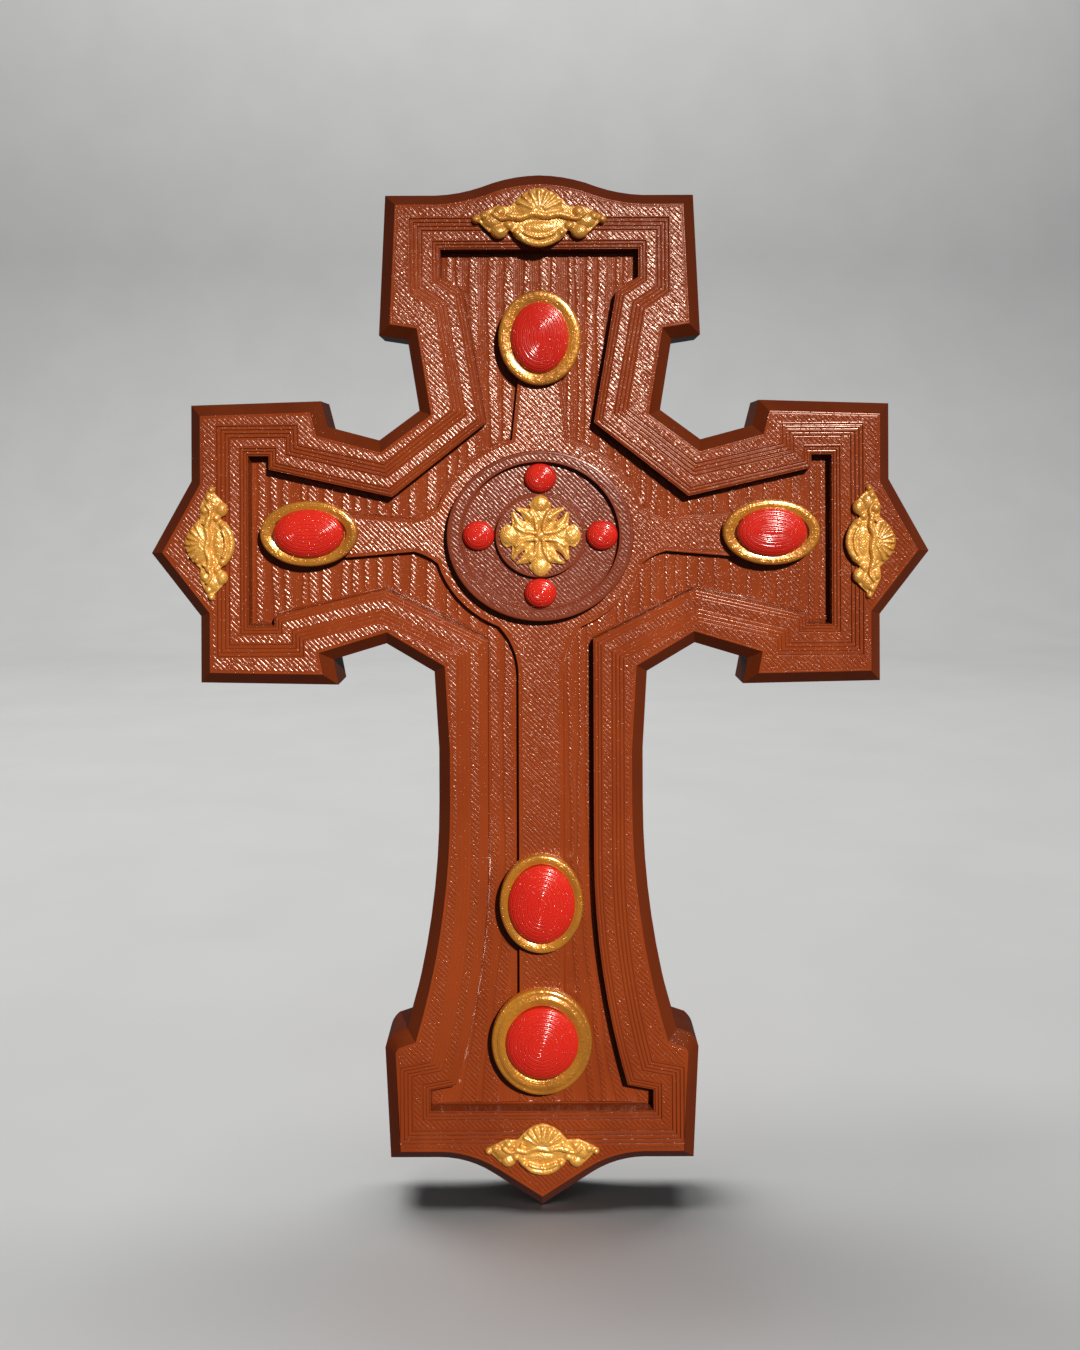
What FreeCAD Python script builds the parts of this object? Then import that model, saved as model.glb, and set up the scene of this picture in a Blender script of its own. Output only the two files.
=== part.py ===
import FreeCAD, Part
import math
import os

import Sketcher
from FreeCAD import Placement, Rotation, Vector

# A wall cross, printed in one brown body, with a medallion, oval stones in bezels,
# cartouches and a rosette bonded to its front.
# Frame: millimetres, +Z up the cross, front towards -Y, origin on the back face
# behind the middle of the medallion. The cross is symmetric about X = 0.

SIZES = [
    # whole body
    ("thickness", 14.0),
    ("bevel", 2.6),
    # outline of the body, top to bottom: X is half a width, Z a height
    ("crest_z", 81.4),
    ("crest_bend_x", 13.0),
    ("crest_bend_z", 78.8),
    ("crest_foot_x", 26.0),
    ("crest_bend_radius", 36.4),
    ("head_x", 34.8),
    ("head_z", 76.9),
    ("ear_x", 36.3),
    ("ear_z", 45.3),
    ("neck_top_x", 29.8),
    ("neck_top_z", 44.3),
    ("neck_base_x", 27.2),
    ("neck_base_z", 28.3),
    ("crook_x", 36.3),
    ("crook_z", 21.6),
    ("arm_neck_x", 48.0),
    ("arm_neck_z", 24.7),
    ("arm_ear_x", 49.5),
    ("arm_ear_z", 30.5),
    ("arm_top_z", 29.6),
    ("arm_end_x", 78.8),
    ("tip_top_z", 12.5),
    ("tip_x", 87.8),
    ("tip_z", -3.7),
    ("arm_low_x", 76.7),
    ("tip_low_z", -18.0),
    ("arm_low_z", -33.0),
    ("low_ear_x", 45.7),
    ("low_ear_z", -33.6),
    ("low_neck_x", 46.8),
    ("low_neck_z", -27.9),
    ("armpit_x", 34.8),
    ("armpit_z", -24.3),
    ("shaft_top_x", 24.0),
    ("shaft_top_z", -30.7),
    ("shaft_x", 23.0),
    ("waist_top_z", -48.0),
    ("waist_low_z", -60.0),
    ("flare_x", 30.4),
    ("flare_z", -111.4),
    ("flare_radius", 182.0),
    ("shoulder_x", 33.4),
    ("shoulder_z", -112.4),
    ("shoulder_radius", 5.5),
    ("foot_top_x", 35.4),
    ("foot_top_z", -115.6),
    ("foot_x", 34.2),
    ("foot_z", -140.5),
    ("foot_curve_x", 23.2),
    ("foot_slope_x", 11.2),
    ("foot_slope_z", -144.0),
    ("foot_curve_radius", 22.5),
    ("foot_tip_z", -151.1),
    # edge of the sunk panel, top to bottom
    ("panel_top_z", 64.4),
    ("panel_top_x", 22.2),
    ("panel_ear_z", 58.3),
    ("panel_neck_x", 17.2),
    ("panel_neck_z", 55.0),
    ("panel_crook_x", 12.1),
    ("panel_crook_z", 25.4),
    ("panel_arm_x", 33.4),
    ("panel_arm_z", 8.7),
    ("panel_notch_x", 61.2),
    ("panel_notch_z", 15.0),
    ("panel_end_x", 65.6),
    ("panel_end_z", 18.0),
    ("panel_low_z", -20.0),
    ("panel_low_x", 60.0),
    ("panel_step_z", -17.8),
    ("panel_armpit_x", 34.8),
    ("panel_armpit_z", -11.9),
    ("panel_fork_x", 11.8),
    ("panel_fork_z", -23.4),
    ("panel_waist_z", -72.0),
    ("panel_ankle_x", 19.2),
    ("panel_ankle_z", -123.8),
    ("panel_flare_radius", 185.0),
    ("panel_foot_x", 25.0),
    ("panel_foot_top_z", -124.9),
    ("panel_foot_z", -129.4),
    # moulding between the rim and the panel: printed layers that step down
    ("layer", 0.2),
    ("outer_slope", 6.8),
    ("outer_tread", 0.85),
    ("inner_slope", 1.8),
    ("inner_tread", 0.7),
    ("panel_depth", 4.5),
    ("panel_lip", 0.2),
    ("panel_draft", 3.0),
    # strapwork on the panel
    ("strap_rise", 1.6),
    ("collar_x", 24.1),
    ("collar_z", 22.4),
    ("band_x", 44.0),
    ("band_end_half", 4.9),
    ("band_waist_x", 28.5),
    ("band_waist_half", 3.6),
    ("band_root_x", 19.0),
    ("band_root_half", 13.0),
    ("band_root_radius", 13.0),
    ("neck_band_z", 38.0),
    ("neck_band_half", 4.6),
    ("neck_band_root_z", 19.0),
    ("neck_band_root_half", 6.6),
    ("shaft_band_z", -106.0),
    ("shaft_band_half", 5.0),
    ("shaft_band_bend_z", -31.0),
    ("shaft_band_root_z", -20.5),
    ("shaft_band_root_half", 9.5),
    ("shaft_band_root_radius", 16.0),
    ("boss_margin", 1.1),
    # medallion
    ("medal_x", 21.0),
    ("medal_z", 19.2),
    ("medal_base", 1.2),
    ("medal_ring_x", 17.8),
    ("medal_ring_z", 16.6),
    ("medal_ring_rise", 1.5),
    ("medal_boss_x", 10.0),
    ("medal_boss_z", 9.3),
    ("medal_boss_rise", 1.3),
    ("medal_edge", 0.35),
    # small beads on the medallion
    ("bead_x", 3.65),
    ("bead_z", 3.4),
    ("bead_rise", 2.3),
    ("bead_side", 13.9),
    ("bead_up", 12.95),
    # bezels and their stones
    ("bezel_rise", 2.2),
    ("bezel_round", 1.0),
    ("bezel_floor", 0.8),
    ("gem_gap", 0.2),
    ("gem_girdle", 1.2),
    ("gem_dome", 2.4),
    ("upper_x", 9.3),
    ("upper_z", 10.7),
    ("upper_gem_x", 6.5),
    ("upper_gem_z", 8.0),
    ("upper_at", 44.5),
    ("side_x", 11.0),
    ("side_z", 7.4),
    ("side_gem_x", 7.9),
    ("side_gem_z", 5.5),
    ("side_at", 52.1),
    ("side_up", 0.6),
    ("lower_x", 9.45),
    ("lower_z", 11.1),
    ("lower_gem_x", 7.5),
    ("lower_gem_z", 8.8),
    ("lower_at", -82.9),
    ("foot_bezel_x", 11.35),
    ("foot_bezel_z", 11.9),
    ("foot_gem_x", 8.2),
    ("foot_gem_z", 8.0),
    ("foot_at", -114.1),
    # cartouches: the large one at the head is full size, the others smaller
    ("cartouche_rise", 1.8),
    ("large", 1.0),
    ("small", 0.85),
    ("crest_rise", 6.6),
    ("shell_x", 5.6),
    ("shell_z", 3.5),
    ("shell_radius", 8.5),
    ("scroll_x", 6.6),
    ("scroll_z", 2.4),
    ("wing_top_x", 9.6),
    ("wing_top_z", 2.6),
    ("wing_x", 12.6),
    ("wing_z", 1.2),
    ("knob_x", 14.9),
    ("knob_z", 0.0),
    ("knob_low_x", 13.3),
    ("knob_low_z", -1.3),
    ("lobe_x", 11.4),
    ("lobe_z", -3.2),
    ("lobe_low_x", 8.9),
    ("lobe_low_z", -4.5),
    ("cleft_x", 6.5),
    ("cleft_z", -2.8),
    ("belly_x", 5.4),
    ("belly_z", -4.5),
    ("belly_low_z", -6.6),
    ("belly_radius", 8.5),
    ("top_cartouche_at", 71.3),
    ("side_cartouche_x", 74.0),
    ("side_cartouche_z", -1.5),
    ("foot_cartouche_at", -137.2),
    # rosette
    ("rosette_rise", 1.3),
    ("rosette_lobe", 3.1),
    ("petal_top_z", 8.6),
    ("petal_top_x", 2.6),
    ("petal_top_low", 7.0),
    ("petal_root_x", 2.0),
    ("petal_root_z", 6.0),
    ("leaf_top_x", 5.4),
    ("leaf_top_z", 6.5),
    ("slot_x", 3.0),
    ("slot_z", 2.8),
    ("leaf_side_x", 6.6),
    ("leaf_side_z", 5.3),
    ("petal_side_root_x", 6.3),
    ("petal_side_root_z", 2.1),
    ("petal_side_x", 7.5),
    ("petal_side_z", 2.7),
]

FRONT = Rotation(Vector(1, 0, 0), 90)

doc = FreeCAD.newDocument("cross")
sheet = doc.addObject("Spreadsheet::Sheet", "sizes")
for row, (alias, amount) in enumerate(SIZES, start=1):
    sheet.set(f"A{row}", alias)
    sheet.set(f"B{row}", str(amount))
    sheet.setAlias(f"B{row}", alias)
doc.recompute()


# Outlines are lists of (x cell, z cell, bend) points, clockwise seen from the front.
# A bend is None for a straight run to the next point, or (side, radius cell) for an
# arc: side 1 swells outwards and -1 inwards. "zero" is a point on the middle line.


def cell(alias):
    """A named cell as an expression; a leading minus sign turns it round."""
    if alias == "zero":
        return "0"
    if alias.startswith("-"):
        return f"-sizes.{alias[1:]}"
    return f"sizes.{alias}"


def number(expression):
    return float(sheet.evalExpression(expression))


def bind(thing, **expressions):
    """Bind properties to expressions; a double underscore stands for a dot."""
    for name, expression in expressions.items():
        thing.setExpression(name.replace("__", "."), expression)


def mirrored(half):
    """A closed outline from its right half."""
    bends = [None] + [bend for _, _, bend in half[:-1]]
    left = [("-" + x, z, bend) for (x, z, _), bend in zip(half, bends)]
    return half + [point for point in reversed(left) if point[0] != "-zero"]


def arc_middle(start, end, side, radius):
    chord = end - start
    sag = radius - math.sqrt(radius**2 - (chord.Length / 2) ** 2)
    across = Vector(-chord.y, chord.x, 0).normalize()
    return (start + end) / 2 + across * side * sag


def draw(sketch, half, scale="1"):
    """Fill a sketch with a mirrored outline whose points and radii follow the cells."""
    outline = mirrored(half)
    factor = number(scale)
    points = [Vector(number(cell(x)), number(cell(z)), 0) * factor for x, z, _ in outline]
    ends = []
    for index, (_, _, bend) in enumerate(outline):
        start = points[index]
        end = points[(index + 1) % len(points)]
        if bend is None:
            sketch.addGeometry(Part.LineSegment(start, end))
        else:
            middle = arc_middle(start, end, bend[0], number(cell(bend[1])) * factor)
            sketch.addGeometry(Part.ArcOfCircle(start, middle, end))
        forward = sketch.getPoint(index, 1).distanceToPoint(start) < 1e-6
        ends.append((1, 2) if forward else (2, 1))
    rules = []
    cells = []
    for index, (x, z, bend) in enumerate(outline):
        after = (index + 1) % len(outline)
        first = ends[index][0]
        rules.append(Sketcher.Constraint("Coincident", index, ends[index][1], after, ends[after][0]))
        for kind, alias in (("DistanceX", x), ("DistanceY", z)):
            if alias == "zero":
                rules.append(Sketcher.Constraint("PointOnObject", index, first, -2))
                continue
            where = f"{cell(alias)} * {scale}"
            cells.append((len(rules), where))
            rules.append(Sketcher.Constraint(kind, -1, 1, index, first, number(where)))
        if bend is not None:
            reach = f"{cell(bend[1])} * {scale}"
            cells.append((len(rules), reach))
            rules.append(Sketcher.Constraint("Radius", index, number(reach)))
    sketch.addConstraint(rules)
    for index, expression in cells:
        sketch.setExpression(f"Constraints[{index}]", expression)


def draw_oval(sketch, half_x, half_z):
    """Add an ellipse about the sketch's origin; its halves are expressions."""
    x = number(half_x)
    z = number(half_z)
    first = len(sketch.Geometry)
    if x >= z:
        sketch.addGeometry(Part.Ellipse(Vector(x, 0, 0), Vector(0, z, 0), Vector()))
        lengths = (half_x, half_z)
        lie = "Horizontal"
    else:
        sketch.addGeometry(Part.Ellipse(Vector(0, z, 0), Vector(-x, 0, 0), Vector()))
        lengths = (half_z, half_x)
        lie = "Vertical"
    sketch.exposeInternalGeometry(first)
    sketch.addConstraint(Sketcher.Constraint("Coincident", first, 3, -1, 1))
    sketch.addConstraint(Sketcher.Constraint(lie, first + 1))
    for axis, half in enumerate(lengths, start=first + 1):
        rule = sketch.addConstraint(Sketcher.Constraint("Distance", axis, 2 * number(half)))
        sketch.setExpression(f"Constraints[{rule}]", f"2 * ({half})")


def front_sketch(name, depth, x="0", z="0"):
    """An empty sketch that faces the front; its place is three expressions."""
    sketch = doc.addObject("Sketcher::SketchObject", name)
    sketch.Placement = Placement(Vector(), FRONT)
    bind(sketch, Placement__Base__x=x, Placement__Base__y=depth, Placement__Base__z=z)
    return sketch


def outline_sketch(name, half, depth):
    sketch = front_sketch(name, depth)
    draw(sketch, half)
    return sketch


def extruded(name, base, length, inwards=False, taper=None):
    """A solid from a flat outline, towards the front, or inwards towards the back."""
    solid = doc.addObject("Part::Extrusion", name)
    solid.Base = base
    solid.DirMode = "Custom"
    solid.Dir = Vector(0, 1 if inwards else -1, 0)
    solid.Solid = True
    solid.FaceMakerClass = "Part::FaceMakerBullseye"
    bind(solid, LengthFwd=length)
    if taper is not None:
        bind(solid, TaperAngle=taper)
    return solid


def grown(name, base, distance):
    """An outline moved outwards by a distance expression, with sharp corners."""
    wider = doc.addObject("Part::Offset2D", name)
    wider.Source = base
    wider.Mode = "Pipe"
    wider.Join = "Intersection"
    bind(wider, Value=distance)
    return wider


def joined(name, pieces):
    fuse = doc.addObject("Part::MultiFuse", name)
    fuse.Shapes = pieces
    fuse.Refine = True
    return fuse


def cut(name, base, tool):
    result = doc.addObject("Part::Cut", name)
    result.Base = base
    result.Tool = tool
    result.Refine = True
    return result


# The body: a flat cross with a bevelled rim, cut by the moulding and the panel

OUTLINE = [
    ("zero", "crest_z", (1, "crest_bend_radius")),
    ("crest_bend_x", "crest_bend_z", (-1, "crest_bend_radius")),
    ("crest_foot_x", "head_z", None),
    ("head_x", "head_z", None),
    ("ear_x", "ear_z", None),
    ("neck_top_x", "neck_top_z", None),
    ("neck_base_x", "neck_base_z", None),
    ("crook_x", "crook_z", None),
    ("arm_neck_x", "arm_neck_z", None),
    ("arm_ear_x", "arm_ear_z", None),
    ("arm_end_x", "arm_top_z", None),
    ("arm_end_x", "tip_top_z", None),
    ("tip_x", "tip_z", None),
    ("arm_low_x", "tip_low_z", None),
    ("arm_low_x", "arm_low_z", None),
    ("low_ear_x", "low_ear_z", None),
    ("low_neck_x", "low_neck_z", None),
    ("armpit_x", "armpit_z", None),
    ("shaft_top_x", "shaft_top_z", None),
    ("shaft_x", "waist_top_z", None),
    ("shaft_x", "waist_low_z", (-1, "flare_radius")),
    ("flare_x", "flare_z", None),
    ("shoulder_x", "shoulder_z", (1, "shoulder_radius")),
    ("foot_top_x", "foot_top_z", None),
    ("foot_x", "foot_z", None),
    ("foot_curve_x", "foot_z", (-1, "foot_curve_radius")),
    ("foot_slope_x", "foot_slope_z", None),
    ("zero", "foot_tip_z", None),
]

PANEL = [
    ("panel_top_x", "panel_top_z", None),
    ("panel_top_x", "panel_ear_z", None),
    ("panel_neck_x", "panel_neck_z", None),
    ("panel_crook_x", "panel_crook_z", None),
    ("panel_arm_x", "panel_arm_z", None),
    ("panel_notch_x", "panel_notch_z", None),
    ("panel_notch_x", "panel_end_z", None),
    ("panel_end_x", "panel_end_z", None),
    ("panel_end_x", "panel_low_z", None),
    ("panel_low_x", "panel_low_z", None),
    ("panel_low_x", "panel_step_z", None),
    ("panel_armpit_x", "panel_armpit_z", None),
    ("panel_fork_x", "panel_fork_z", None),
    ("panel_fork_x", "panel_waist_z", (-1, "panel_flare_radius")),
    ("panel_ankle_x", "panel_ankle_z", None),
    ("panel_foot_x", "panel_foot_top_z", None),
    ("panel_foot_x", "panel_foot_z", None),
]

FACE = "-sizes.thickness"
RIM = "-(sizes.thickness - sizes.bevel)"
PANEL_FLOOR = "-(sizes.thickness - sizes.panel_depth)"
STRAP_TOP = "-(sizes.thickness - sizes.panel_depth + sizes.strap_rise)"


def blank():
    """The cross before its relief is cut, with the bevelled rim."""
    wall = extruded("wall", outline_sketch("outline", OUTLINE, "0"), "sizes.thickness - sizes.bevel")
    edge = outline_sketch("rim", OUTLINE, RIM)
    face = grown("rim_face", outline_sketch("rim_front", OUTLINE, FACE), "-sizes.bevel")
    bevel = doc.addObject("Part::Loft", "bevel")
    bevel.Sections = [edge, face]
    bevel.Solid = True
    bevel.Ruled = True
    return joined("blank", [wall, bevel])


def moulding():
    """One tool that steps down, layer by layer, from the rim to the panel's floor."""
    edge = outline_sketch("panel_edge", PANEL, FACE)
    tools = []
    for slope, first, last in (("outer", 1, 4), ("inner", 5, 7)):
        for step in range(first, last + 1):
            reach = f"sizes.{slope}_slope - {step - first} * sizes.{slope}_tread"
            tread = grown(f"tread_{step}", edge, reach)
            tools.append(extruded(f"step_{step}", tread, f"{step} * sizes.layer", inwards=True))
    lip = grown("panel_lip", edge, "sizes.panel_lip")
    tools.append(extruded("panel", lip, "sizes.panel_depth", inwards=True, taper="-sizes.panel_draft"))
    return joined("moulding", tools)


ARM_BAND = [
    ("band_root_x", "band_root_half", (-1, "band_root_radius")),
    ("band_waist_x", "band_waist_half", None),
    ("band_x", "band_end_half", None),
    ("band_x", "-band_end_half", None),
    ("band_waist_x", "-band_waist_half", (-1, "band_root_radius")),
    ("band_root_x", "-band_root_half", None),
]

NECK_BAND = [
    ("neck_band_half", "neck_band_z", None),
    ("neck_band_root_half", "neck_band_root_z", None),
]

SHAFT_BAND = [
    ("shaft_band_root_half", "shaft_band_root_z", (-1, "shaft_band_root_radius")),
    ("shaft_band_half", "shaft_band_bend_z", None),
    ("shaft_band_half", "shaft_band_z", None),
]

BEZELS = {
    "upper": ("zero", "upper_at", "upper_x", "upper_z"),
    "left": ("-side_at", "side_up", "side_x", "side_z"),
    "right": ("side_at", "side_up", "side_x", "side_z"),
    "lower": ("zero", "lower_at", "lower_x", "lower_z"),
    "foot": ("zero", "foot_at", "foot_bezel_x", "foot_bezel_z"),
}

STONES = {
    "upper": ("upper_gem_x", "upper_gem_z"),
    "left": ("side_gem_x", "side_gem_z"),
    "right": ("side_gem_x", "side_gem_z"),
    "lower": ("lower_gem_x", "lower_gem_z"),
    "foot": ("foot_gem_x", "foot_gem_z"),
}


def strap_oval(name, x, z, half_x, half_z):
    sketch = front_sketch(f"{name}_outline", PANEL_FLOOR, cell(x), cell(z))
    draw_oval(sketch, half_x, half_z)
    return extruded(name, sketch, "sizes.strap_rise")


def strapwork():
    pieces = [strap_oval("collar", "zero", "zero", "sizes.collar_x", "sizes.collar_z")]
    for name, half in (("arm_band", ARM_BAND), ("neck_band", NECK_BAND), ("shaft_band", SHAFT_BAND)):
        sketch = outline_sketch(f"{name}_outline", half, PANEL_FLOOR)
        pieces.append(extruded(name, sketch, "sizes.strap_rise"))
    for name, (x, z, half_x, half_z) in BEZELS.items():
        under = [f"sizes.{half} - sizes.boss_margin" for half in (half_x, half_z)]
        pieces.append(strap_oval(f"boss_{name}", x, z, *under))
    return pieces


carved = cut("carved", blank(), moulding())
cross_body = joined("cross_body", [carved] + strapwork())


# Ornaments: each is a body of its own, drawn about its middle from its back face


def ornament(name, x, back, z, turn=0):
    """An empty body whose back face lies at a depth, turned in the cross's plane."""
    body = doc.addObject("PartDesign::Body", name)
    body.Placement = Placement(Vector(), Rotation(Vector(0, 1, 0), turn))
    bind(body, Placement__Base__x=x, Placement__Base__y=back, Placement__Base__z=z)
    return body


def front_plane(body):
    return next(plane for plane in body.Origin.OriginFeatures if plane.Role == "XZ_Plane")


def body_sketch(body, name, rise="0"):
    sketch = body.newObject("Sketcher::SketchObject", name)
    sketch.AttachmentSupport = [(front_plane(body), "")]
    sketch.MapMode = "FlatFace"
    bind(sketch, AttachmentOffset__Base__z=rise)
    return sketch


def pad(body, sketch, length):
    feature = body.newObject("PartDesign::Pad", f"{sketch.Name}_pad")
    feature.Profile = sketch
    bind(feature, Length=length)
    return feature


def pocket(body, sketch, depth):
    feature = body.newObject("PartDesign::Pocket", f"{sketch.Name}_pocket")
    feature.Profile = sketch
    bind(feature, Length=depth)
    return feature


def rounded_front(body, name, feature, radius):
    """Round the outer edge of a feature's front face."""
    doc.recompute()
    shape = feature.Shape
    front = shape.BoundBox.YMin
    level = [
        (edge.Length, f"Edge{index}")
        for index, edge in enumerate(shape.Edges, start=1)
        if abs(edge.BoundBox.YMin - front) < 1e-6 and abs(edge.BoundBox.YMax - front) < 1e-6
    ]
    fillet = body.newObject("PartDesign::Fillet", name)
    fillet.Base = (feature, [max(level)[1]])
    bind(fillet, Radius=radius)
    return fillet


def dome(body, name, half_x, half_z, rise, start="0"):
    """The front half of an ellipsoid, standing on its widest section."""
    swell = body.newObject("PartDesign::AdditiveEllipsoid", name)
    swell.AttachmentSupport = [(front_plane(body), "")]
    swell.MapMode = "FlatFace"
    swell.Angle1 = 0
    bind(swell, AttachmentOffset__Base__z=start, Radius1=rise, Radius2=half_x, Radius3=half_z)
    return swell


def medallion():
    """An oval disc with a raised ring and a raised boss in the middle."""
    body = ornament("medallion_disc", "0", STRAP_TOP, "0")
    base = body_sketch(body, "medal_base_outline")
    draw_oval(base, "sizes.medal_x", "sizes.medal_z")
    pad(body, base, "sizes.medal_base")
    ring = body_sketch(body, "medal_ring_outline", "sizes.medal_base")
    draw_oval(ring, "sizes.medal_x", "sizes.medal_z")
    draw_oval(ring, "sizes.medal_ring_x", "sizes.medal_ring_z")
    raised = pad(body, ring, "sizes.medal_ring_rise")
    rounded_front(body, "medal_edge_round", raised, "sizes.medal_edge")
    boss = body_sketch(body, "medal_boss_outline", "sizes.medal_base")
    draw_oval(boss, "sizes.medal_boss_x", "sizes.medal_boss_z")
    pad(body, boss, "sizes.medal_boss_rise")
    return body


def bezel(name):
    """An oval frame with a round front edge and a blind seat for its stone."""
    x, z, half_x, half_z = BEZELS[name]
    body = ornament(f"bezel_{name}", cell(x), STRAP_TOP, cell(z))
    outer = body_sketch(body, f"bezel_{name}_outline")
    draw_oval(outer, cell(half_x), cell(half_z))
    plate = pad(body, outer, "sizes.bezel_rise")
    rounded_front(body, f"bezel_{name}_round", plate, "sizes.bezel_round")
    seat = body_sketch(body, f"bezel_{name}_seat", "sizes.bezel_rise")
    opening = [f"{cell(half)} + sizes.gem_gap" for half in STONES[name]]
    draw_oval(seat, *opening)
    pocket(body, seat, "sizes.bezel_rise - sizes.bezel_floor")
    return body


def gem(name):
    """A stone with an upright girdle and a domed front, standing in its bezel's seat."""
    x, z, _, _ = BEZELS[name]
    half_x, half_z = (cell(half) for half in STONES[name])
    body = ornament(f"gem_{name}", cell(x), f"{STRAP_TOP} - sizes.bezel_floor", cell(z))
    girdle = body_sketch(body, f"gem_{name}_outline")
    draw_oval(girdle, half_x, half_z)
    pad(body, girdle, "sizes.gem_girdle")
    dome(body, f"gem_{name}_dome", half_x, half_z, "sizes.gem_dome", "sizes.gem_girdle")
    return body


def bead(name, x, z):
    """A small dome that stands on the medallion's floor."""
    body = ornament(f"bead_{name}", x, f"{STRAP_TOP} - sizes.medal_base", z)
    dome(body, f"bead_{name}_dome", "sizes.bead_x", "sizes.bead_z", "sizes.bead_rise")
    return body


CARTOUCHE = [
    ("zero", "crest_rise", (1, "shell_radius")),
    ("shell_x", "shell_z", None),
    ("scroll_x", "scroll_z", None),
    ("wing_top_x", "wing_top_z", None),
    ("wing_x", "wing_z", None),
    ("knob_x", "knob_z", None),
    ("knob_low_x", "knob_low_z", None),
    ("lobe_x", "lobe_z", None),
    ("lobe_low_x", "lobe_low_z", None),
    ("cleft_x", "cleft_z", None),
    ("belly_x", "belly_z", (1, "belly_radius")),
    ("zero", "belly_low_z", (1, "belly_radius")),
]

ROSETTE = [
    ("zero", "petal_top_z", (1, "rosette_lobe")),
    ("petal_top_x", "petal_top_low", None),
    ("petal_root_x", "petal_root_z", None),
    ("leaf_top_x", "leaf_top_z", None),
    ("slot_x", "slot_z", None),
    ("leaf_side_x", "leaf_side_z", None),
    ("petal_side_root_x", "petal_side_root_z", None),
    ("petal_side_x", "petal_side_z", (1, "rosette_lobe")),
    ("petal_side_x", "-petal_side_z", None),
    ("petal_side_root_x", "-petal_side_root_z", None),
    ("leaf_side_x", "-leaf_side_z", None),
    ("slot_x", "-slot_z", None),
    ("leaf_top_x", "-leaf_top_z", None),
    ("petal_root_x", "-petal_root_z", None),
    ("petal_top_x", "-petal_top_low", (1, "rosette_lobe")),
    ("zero", "-petal_top_z", (1, "rosette_lobe")),
]


def cartouche(name, x, z, scale, turn=0):
    """A scrolled plate that lies on the flat of the rim."""
    body = ornament(f"cartouche_{name}", x, FACE, z, turn)
    outline = body_sketch(body, f"cartouche_{name}_outline")
    draw(outline, CARTOUCHE, scale)
    pad(body, outline, f"sizes.cartouche_rise * {scale}")
    return body


def rosette():
    """A cross-shaped flower on the medallion's boss."""
    body = ornament("rosette", "0", f"{STRAP_TOP} - sizes.medal_base - sizes.medal_boss_rise", "0")
    outline = body_sketch(body, "rosette_outline")
    draw(outline, ROSETTE)
    pad(body, outline, "sizes.rosette_rise")
    return body


parts = [cross_body, medallion(), rosette()]
for name in BEZELS:
    parts.append(bezel(name))
    parts.append(gem(name))
parts.append(bead("top", "0", "sizes.bead_up"))
parts.append(bead("bottom", "0", "-sizes.bead_up"))
parts.append(bead("left", "-sizes.bead_side", "0"))
parts.append(bead("right", "sizes.bead_side", "0"))
parts.append(cartouche("top", "0", "sizes.top_cartouche_at", "sizes.large"))
parts.append(cartouche("left", "-sizes.side_cartouche_x", "sizes.side_cartouche_z", "sizes.small", -90))
parts.append(cartouche("right", "sizes.side_cartouche_x", "sizes.side_cartouche_z", "sizes.small", 90))
parts.append(cartouche("foot", "0", "sizes.foot_cartouche_at", "sizes.small"))
doc.recompute()

for thing in doc.Objects:
    if {"Invalid", "Error"} & set(thing.State):
        raise RuntimeError(f"{thing.Name} failed: {thing.State}")
for part in parts:
    if part.Shape.isNull() or not part.Shape.isValid():
        raise RuntimeError(f"{part.Name} has no valid shape")

os.makedirs("parts", exist_ok=True)
for part in parts:
    part.Label = part.Name
    part.Shape.exportStep(f"parts/{part.Label}.step")
    box = part.Shape.BoundBox
    print(f"{part.Label:18} {len(part.Shape.Solids)} solid {part.Shape.Volume:10.1f} mm3  {box}")
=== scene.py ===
import math
import random

import bmesh
import bpy
from mathutils import Matrix, Vector, kdtree, noise
from mathutils.bvhtree import BVHTree
from mathutils.geometry import delaunay_2d_cdt


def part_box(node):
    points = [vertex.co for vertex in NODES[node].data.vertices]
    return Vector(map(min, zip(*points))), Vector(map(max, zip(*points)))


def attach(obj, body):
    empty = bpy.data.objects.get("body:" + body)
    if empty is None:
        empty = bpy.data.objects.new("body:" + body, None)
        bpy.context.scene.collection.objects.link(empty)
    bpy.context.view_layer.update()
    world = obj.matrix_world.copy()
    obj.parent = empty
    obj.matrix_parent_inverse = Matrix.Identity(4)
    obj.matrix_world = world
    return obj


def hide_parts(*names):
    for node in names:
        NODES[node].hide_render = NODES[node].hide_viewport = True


# A printed wall cross. The frame gives every place and size. Lengths are in metres and
# angles in degrees, unless a comment says otherwise. The front faces -Y, so a front
# view's plane is X and Z, and Y is the depth.

MM = 0.001

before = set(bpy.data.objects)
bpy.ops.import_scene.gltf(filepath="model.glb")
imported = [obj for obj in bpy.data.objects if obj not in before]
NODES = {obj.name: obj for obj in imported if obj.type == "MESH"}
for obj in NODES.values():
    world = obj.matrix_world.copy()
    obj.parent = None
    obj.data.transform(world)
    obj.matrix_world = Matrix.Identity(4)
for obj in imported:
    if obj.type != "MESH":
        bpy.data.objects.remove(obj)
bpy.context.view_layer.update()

BODY = "cross_body"
BODY_LOW, BODY_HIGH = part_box(BODY)
FACE_Y = BODY_LOW.y

# How the printer laid its plastic down
LINE = 0.42 * MM
LAYER = 0.2 * MM


# Camera, light and floor

CAMERA_RANGE = 0.280
CAMERA_Z = 0.0125
CAMERA_LENS = 33.33
CAMERA_SHIFT = -0.1444
CAMERA_ROLL = 0.2

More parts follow.
